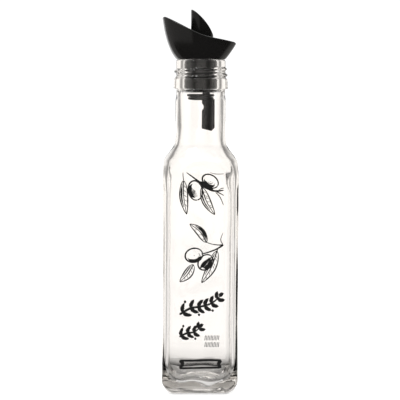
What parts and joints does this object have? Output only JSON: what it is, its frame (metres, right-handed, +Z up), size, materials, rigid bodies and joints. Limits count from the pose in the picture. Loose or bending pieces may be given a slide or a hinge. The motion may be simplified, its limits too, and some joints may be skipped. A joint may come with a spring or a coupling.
{
  "type": "oil bottle with pourer",
  "caption": "Square clear-glass oil bottle with a threaded round neck, printed olive sprigs and a black push-in pourer: boat-shaped drip collar, slant-cut spout, finned stopper, stem.",
  "frame": {"origin": "middle of the base, on the surface that the bottle stands on", "axes": "+Z up along the neck, the pouring lip points along -X, the printed face looks along -Y"},
  "size_m": [0.0475, 0.047, 0.2374],
  "materials": {
    "clear_glass": "clear flint glass, fire-polished, faint warm grey where it is thick",
    "black_gloss_plastic": "glossy black moulded plastic",
    "black_soft_plastic": "satin black flexible plastic",
    "black_ink": "screen-printed black ink on the front face, shown in the visual model"
  },
  "bodies": {
    "bottle": {"glass_bottle": "clear_glass"},
    "pourer": {"drip_collar": "black_gloss_plastic", "pour_spout": "black_gloss_plastic", "stopper_sleeve": "black_soft_plastic", "sealing_fin_upper": "black_soft_plastic", "sealing_fin_middle": "black_soft_plastic", "sealing_fin_lower": "black_soft_plastic", "oil_stem": "black_soft_plastic"}
  },
  "joints": [
    {"name": "pourer_pull", "type": "slide", "parent": "bottle", "child": "pourer", "axis": [0, 0, 1], "range_m": [0, 0.055]}
  ]
}
